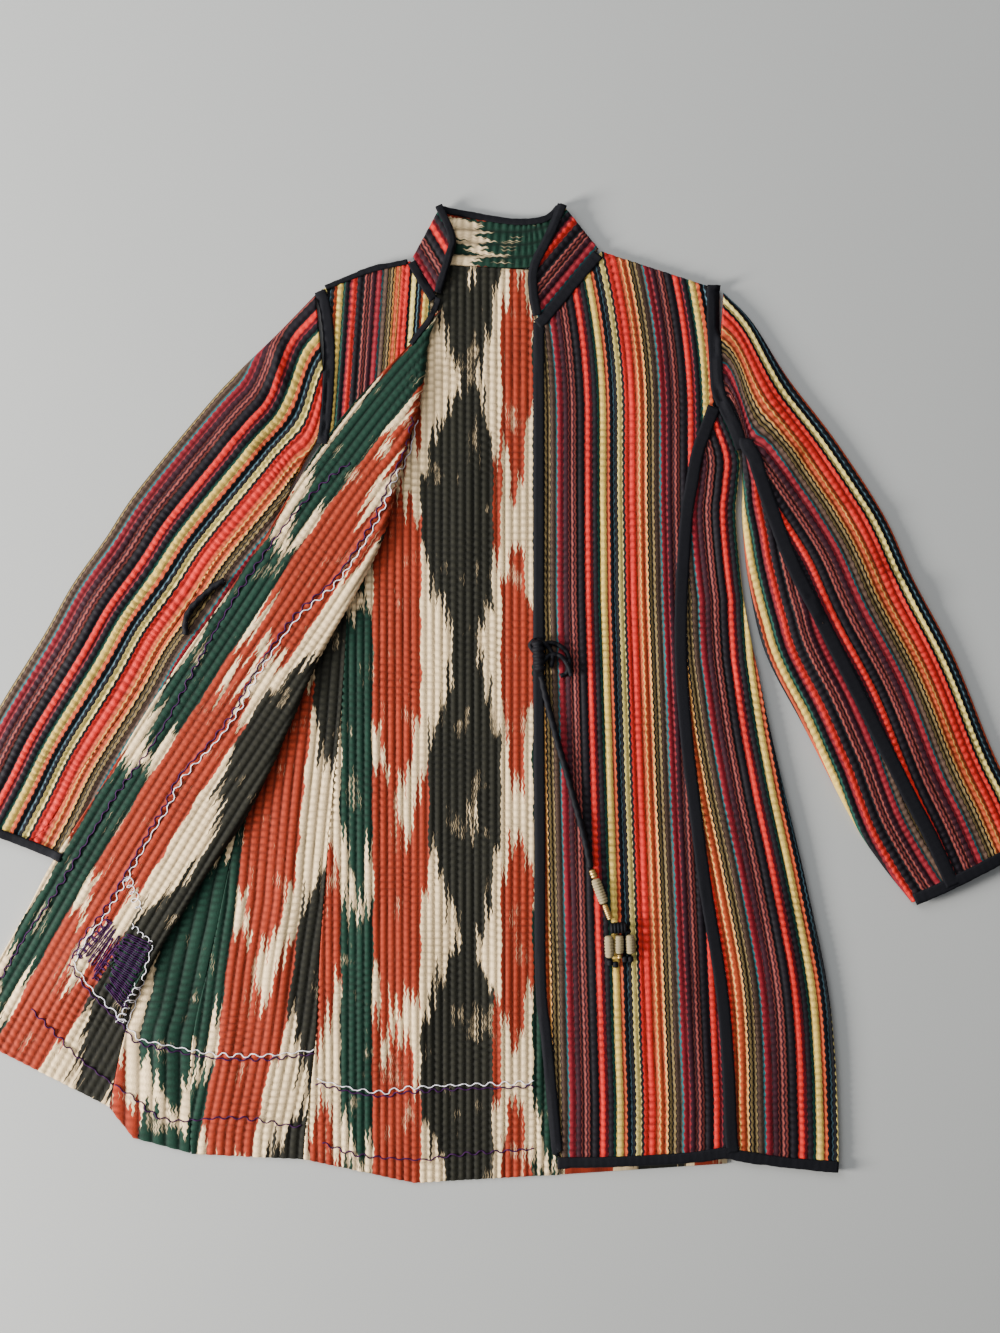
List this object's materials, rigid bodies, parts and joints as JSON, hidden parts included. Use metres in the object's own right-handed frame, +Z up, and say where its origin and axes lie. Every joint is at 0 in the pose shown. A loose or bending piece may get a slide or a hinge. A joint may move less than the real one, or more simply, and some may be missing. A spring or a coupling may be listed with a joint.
{
  "type": "uzbek chapan robe",
  "caption": "Quilted chapan robe laid flat, one front turned back to show its ikat lining, striped outer, black bindings, stand collar and tie.",
  "frame": {"origin": "under the middle of the laid robe, on the surface it rests on", "axes": "+X towards the wearer's left sleeve, +Y towards the collar, +Z up from the surface"},
  "size_m": [1.092, 0.977, 0.0193],
  "materials": {
    "striped_outer": "woven, slight sheen",
    "ikat_lining": "woven, matte",
    "black_tape": "woven tape, matte",
    "tie_cord": "braided cord",
    "wrapped_thread": "wrapped thread",
    "gold_metal": "satin"
  },
  "bodies": {
    "root": {"back_center": "ikat_lining", "back_side_left": "ikat_lining", "back_side_right": "ikat_lining", "binding_collar_back": "black_tape", "binding_collar_left": "black_tape", "binding_collar_right": "black_tape", "binding_cuff_left": "black_tape", "binding_cuff_right": "black_tape", "binding_left": "black_tape", "collar_back": "ikat_lining", "collar_left": "striped_outer", "collar_right": "striped_outer", "front_left_center": "striped_outer", "front_left_side": "striped_outer", "front_right_center": "ikat_lining", "front_right_shoulder": "striped_outer", "front_right_side": "ikat_lining", "sleeve_left_lower": "striped_outer", "sleeve_left_upper": "striped_outer", "sleeve_right_lower": "striped_outer", "sleeve_right_upper": "striped_outer", "tape_armhole_left": "black_tape", "tape_armhole_right": "black_tape", "tape_neck_left": "black_tape", "tape_neck_right": "black_tape", "tape_princess_left": "black_tape", "tape_shoulder_right": "black_tape", "tape_sleeve_left": "black_tape", "tassel_bead_1": "wrapped_thread", "tassel_bead_2": "wrapped_thread", "tassel_bead_3": "wrapped_thread", "tassel_head": "tie_cord", "tie_bead": "wrapped_thread", "tie_cap": "gold_metal", "tie_knot": "tie_cord", "tie_left": "tie_cord", "tie_right": "tie_cord", "tie_tube": "gold_metal"}
  },
  "joints": []
}
